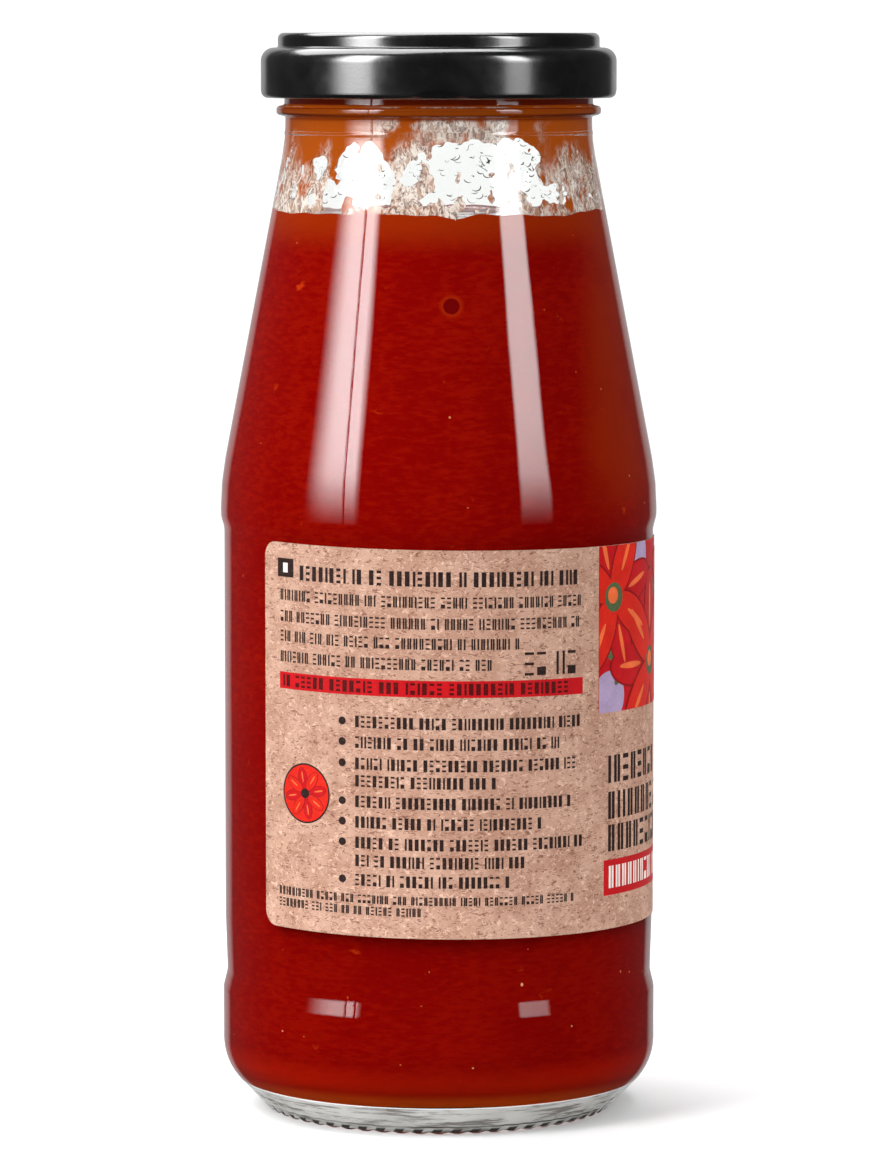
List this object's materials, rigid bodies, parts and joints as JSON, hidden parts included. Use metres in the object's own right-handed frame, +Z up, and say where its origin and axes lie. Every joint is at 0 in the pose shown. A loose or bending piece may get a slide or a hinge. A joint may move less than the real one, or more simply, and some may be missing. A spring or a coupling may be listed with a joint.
{
  "type": "passata bottle",
  "caption": "Shut clear glass bottle of tomato passata with a black twist-off lid and a wrap-round paper label.",
  "frame": {"origin": "on the surface that the bottle stands on, below the bottle's middle", "axes": "+Z up along the bottle's axis; -Y is the side that faces the viewer, between the label's left edge and its picture panel; +X is the viewer's right"},
  "size_m": [0.0694, 0.0694, 0.171],
  "materials": {
    "clear_glass": "clear flint glass, polished, with fine mould seams",
    "passata": "thick smooth tomato passata, deep red with orange flecks, wet",
    "black_lacquer": "glossy black lacquered tinplate",
    "kraft_paper": "matt pinkish brown kraft paper with fibres and flat printing"
  },
  "bodies": {
    "root": {"glass_bottle": "clear_glass", "passata": "passata", "lid": "black_lacquer", "label": "kraft_paper"}
  },
  "joints": []
}
